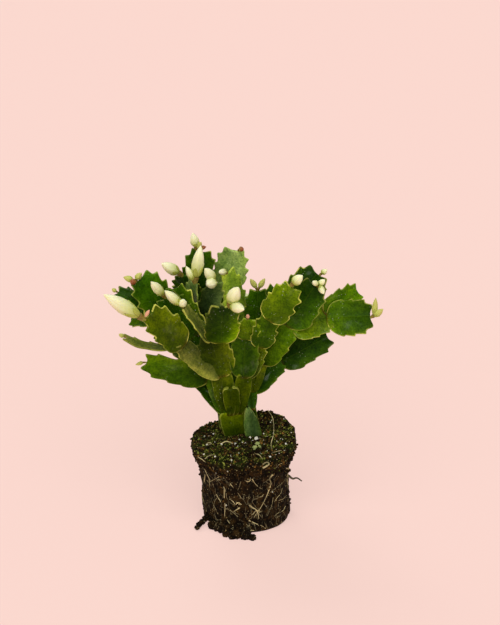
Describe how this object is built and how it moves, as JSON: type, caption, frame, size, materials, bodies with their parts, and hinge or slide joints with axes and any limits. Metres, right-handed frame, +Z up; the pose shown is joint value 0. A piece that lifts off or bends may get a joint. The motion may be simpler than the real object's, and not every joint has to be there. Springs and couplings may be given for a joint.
{
  "type": "christmas cactus with bare root ball",
  "caption": "Holiday cactus houseplant with flat toothed segments in arching chains, closed cream buds at their tips, standing on its bare moulded root ball",
  "frame": {"origin": "centre of the root ball's flat underside, on the surface that it stands on", "axes": "+Z up, the pictured side of the plant faces -Y, +X to the viewer's right"},
  "size_m": [0.219, 0.1263, 0.234],
  "materials": {
    "soil": "matte",
    "stem": "satin",
    "bud": "satin"
  },
  "bodies": {
    "root": {"root_ball": "soil", "stem_main": "stem", "stem_right": "stem", "stem_back_left": "stem", "stem_back_right": "stem", "bud_front_left": "bud", "bud_blade_edge": "bud", "bud_low_arm": "bud", "bud_left_broad": "bud", "bud_oblique": "bud", "bud_front_top": "bud", "bud_mid_top": "bud", "bud_bright": "bud", "bud_right_dark": "bud", "bud_far_right": "bud", "bud_left_crown": "bud", "bud_left_dark": "bud", "bud_crown_top": "bud", "bud_crown_west": "bud", "bud_crown_side": "bud", "bud_crown_inner": "bud", "bud_green_top": "bud", "bud_pale_top": "bud", "bud_east_blade": "bud", "bud_east_crown": "bud", "bud_rear_left": "bud", "bud_rear_up": "bud", "bud_rear_right": "bud", "bud_rear_high": "bud"}
  },
  "joints": []
}
